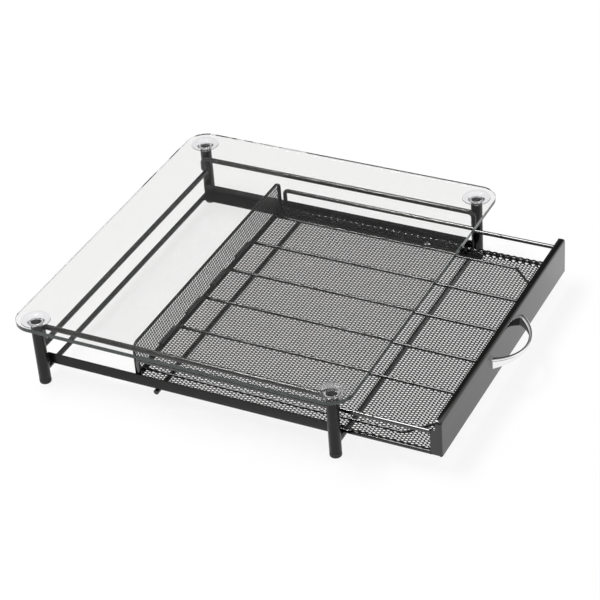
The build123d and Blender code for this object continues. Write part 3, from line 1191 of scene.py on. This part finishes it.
def makeHandle():
    look = handleLook
    low, high = nodeBox("handle")
    centre = (low + high) / 2
    half, reach, footHalf = (high.x - low.x) / 2, high.y - low.y, (high.z - low.z) / 2
    innerEnd = half - look["foot"]
    slope = (footHalf - look["barHeight"] / 2) / reach
    outerArc = arcThrough(half, look["end"], reach)
    innerArc = arcThrough(innerEnd, 0.0, reach - look["bar"])

    def section(outerX, outerOut, innerX, innerOut):
        outer = Vector((centre.x + outerX, high.y - outerOut, centre.z))
        inner = Vector((centre.x + innerX, high.y - innerOut, centre.z))
        outerHalf, innerHalf = footHalf - slope * outerOut, footHalf - slope * innerOut
        return handleSection(outer, inner, outerHalf, innerHalf, look)

    tips = [(share * look["end"], share * hairline) for share in look["tips"]]
    rings = [section(-half, out, -innerEnd, lift) for out, lift in tips]
    for k in range(look["spans"] + 1):
        share = -math.cos(math.pi * k / look["spans"])
        outerX, innerX = share * half, share * innerEnd
        innerOut = innerArc(innerX) + look["innerLift"]
        rings.append(section(outerX, outerArc(outerX), innerX, innerOut))
    rings += [section(half, out, innerEnd, lift) for out, lift in reversed(tips)]
    newPiece("handleBow", loftRings(rings), ["handleChrome"], "drawer",
             ["handle"], look["sharpAngle"])


def makeScrews():
    look = screwLook
    low, high = nodeBox("handle_screws")
    centreZ = (low.z + high.z) / 2
    radius, height, dome = look["headRadius"], look["headHeight"], look["domeFrom"]
    seat = high.y - height
    profile = [(0, seat), (radius - look["seatEase"], seat), (radius, seat + look["seatRise"])]
    for angle in quarterTurn(look["domeSteps"])[1:-1]:
        profile.append((radius * math.cos(angle),
                        seat + dome + (height - dome) * math.sin(angle) ** look["domePower"]))
    profile.append((0, high.y))
    turned, faces = lathe(profile, Vector(), look["segments"])
    for side, x in (("left", low.x + radius), ("right", high.x - radius)):
        verts = [Vector((x + v.x, v.z, centreZ + v.y)) for v in turned]
        screw = newPiece(f"handleScrew_{side}", (verts, faces), ["screwSteel"], "drawer",
                         ["handle_screws"])
        cutRecess(screw, Vector((x, high.y, centreZ)), look)


def cutRecess(screw, top, look):
    wide, long = look["recessWidth"] / 2, look["recessReach"] * look["headRadius"]
    taperX, taperZ = look["recessTaper"]
    for a, b in ((long, wide), (wide, long)):        # two crossed slots
        levels = ((look["recessAbove"], a, b), (-look["recess"], a * taperX, b * taperZ))
        cutAway(screw, loftRings([
            [top + Vector((sx * halfX, rise, sz * halfZ)) for sx, sz in square]
            for rise, halfX, halfZ in levels
        ]))
    shadeSmooth(screw)


makeHandle()
makeScrews()
print("handle built")


# Floor, world and lights

floorLook = {
    "size": 6.0, "drop": 0.2 * mm, "colour": (0.9, 0.9, 0.9, 1), "roughness": 0.4,
    "shownWhite": 0.86,              # share of plain white in what is seen of it
}
worldLook = {
    "light": 0.55, "ceiling": 0.06, "clearCeiling": 0.25, "ceilingFrom": 0.08, "ceilingTo": 0.48,
    "zenithFrom": 0.62, "zenithTo": 0.72,
}
lamps = {
    "keyLight": {"power": 20.0, "size": (1.0, 0.4), "place": (-0.12, 0.52, 1.52)},
    "fillLight": {"power": 5.0, "size": (1.4, 1.4), "place": (0.9, -1.3, 1.1)},
}
white = (1, 1, 1, 1)


def seenDirectly(tree, rays):
    # One for rays that are seen straight, mirrored or through glass, and zero for the others
    first = addMath(tree, "MAXIMUM")
    second = addMath(tree, "MAXIMUM")
    connect(
        tree,
        (rays, "Is Camera Ray", first, 0),
        (rays, "Is Glossy Ray", first, 1),
        (first, "Value", second, 0),
        (rays, "Is Transmission Ray", second, 1),
    )
    return second


def makeFloor(spec):
    half = spec["size"] / 2
    level = cadLow[2] - spec["drop"]
    outline = [(x * half, y * half, level) for x, y in square[2:] + square[:2]]
    floor = meshObject("floor", outline, [(0, 1, 2, 3)])
    material = bpy.data.materials.new("paleFloor")
    tree = emptyTree(material)
    output = addNode(tree, "OutputMaterial")
    matt = addNode(tree, "BsdfDiffuse", Color=spec["colour"], Roughness=spec["roughness"])
    glow = addNode(tree, "Emission", Color=white, Strength=1.0)
    rays = addNode(tree, "LightPath")
    share = addMath(tree, "MULTIPLY", spec["shownWhite"])
    mix = addNode(tree, "MixShader")
    connect(
        tree,
        (seenDirectly(tree, rays), "Value", share, 0),
        (share, "Value", mix, "Fac"),
        (matt, "BSDF", mix, 1),
        (glow, "Emission", mix, 2),
        (mix, "Shader", output, "Surface"),
    )
    floor.data.materials.append(material)


def makeWorld(spec):
    # What is mirrored is white round the horizon and overhead, with a dark band between, which is
    # paler for what shows inside clear pieces. The camera itself sees white all round.
    world = bpy.data.worlds.new("paleStudio")
    bpy.context.scene.world = world
    tree = emptyTree(world)
    output = addNode(tree, "OutputWorld")
    light = addNode(tree, "Background", Color=white, Strength=spec["light"])
    shown = addNode(tree, "Background", Color=white)
    rays = addNode(tree, "LightPath")
    way = addNode(tree, "TexCoord")
    split = addNode(tree, "SeparateXYZ")
    band = addNode(tree, "MapRange", From_Min=spec["ceilingFrom"], From_Max=spec["ceilingTo"],
                   To_Min=1.0, To_Max=spec["ceiling"])
    zenith = addNode(tree, "MapRange", From_Min=spec["zenithFrom"], From_Max=spec["zenithTo"])
    overhead = addMath(tree, "MAXIMUM")
    clear = addMath(tree, "MULTIPLY", spec["clearCeiling"])
    direct = addMath(tree, "MAXIMUM")
    level = addMath(tree, "MAXIMUM")
    mix = addNode(tree, "MixShader")
    connect(
        tree,
        (way, "Generated", split, "Vector"),
        (split, "Z", band, "Value"),
        (split, "Z", zenith, "Value"),
        (band, "Result", overhead, 0),
        (zenith, "Result", overhead, 1),
        (rays, "Is Transmission Ray", clear, 0),
        (rays, "Is Camera Ray", direct, 0),
        (clear, "Value", direct, 1),
        (overhead, "Value", level, 0),
        (direct, "Value", level, 1),
        (level, "Value", shown, "Strength"),
        (seenDirectly(tree, rays), "Value", mix, "Fac"),
        (light, "Background", mix, 1),
        (shown, "Background", mix, 2),
        (mix, "Shader", output, "Surface"),
    )


def makeLight(name, spec):
    data = bpy.data.lights.new(name, "AREA")
    data.energy = spec["power"]
    data.shape = "RECTANGLE"
    data.size, data.size_y = spec["size"]
    light = placeObject(name, data)
    place = Vector(spec["place"])
    turn = (Vector(photoCamera["target"]) - place).to_track_quat("-Z", "Y")
    light.matrix_world = Matrix.Translation(place) @ turn.to_matrix().to_4x4()


makeFloor(floorLook)
makeWorld(worldLook)
for lamp, spec in lamps.items():
    makeLight(lamp, spec)
bpy.context.scene.view_settings.view_transform = "Standard"
print("studio built")
